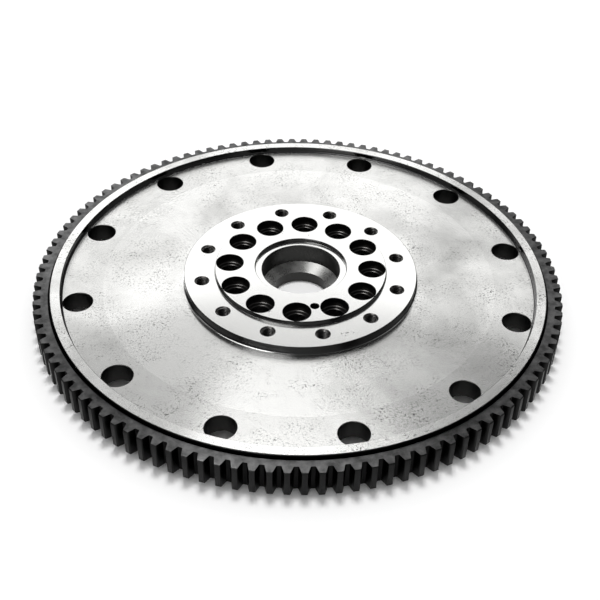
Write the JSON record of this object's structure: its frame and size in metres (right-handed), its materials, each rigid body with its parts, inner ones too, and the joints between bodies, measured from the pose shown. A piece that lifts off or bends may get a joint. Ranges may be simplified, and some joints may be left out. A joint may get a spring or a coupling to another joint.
{
  "type": "flywheel",
  "caption": "Engine flywheel: a turned and drilled steel disc with a stepped bolting hub, a centre bearing pocket, through holes near the rim and a starter ring gear shrunk on to the rim.",
  "frame": {"origin": "centre of the crankshaft face, on the axis of rotation, at the bottom of the part", "axes": "+Z along the axis of rotation, from the crankshaft face towards the bolt heads; the dowel hole is on the -Y side"},
  "size_m": [0.4848, 0.4846, 0.0393],
  "materials": {
    "turned_steel": "turned, faintly stained",
    "gear_steel": "hardened, dark and dry"
  },
  "bodies": {
    "root": {"flywheel_body": "turned_steel", "ring_gear": "gear_steel"}
  },
  "joints": []
}
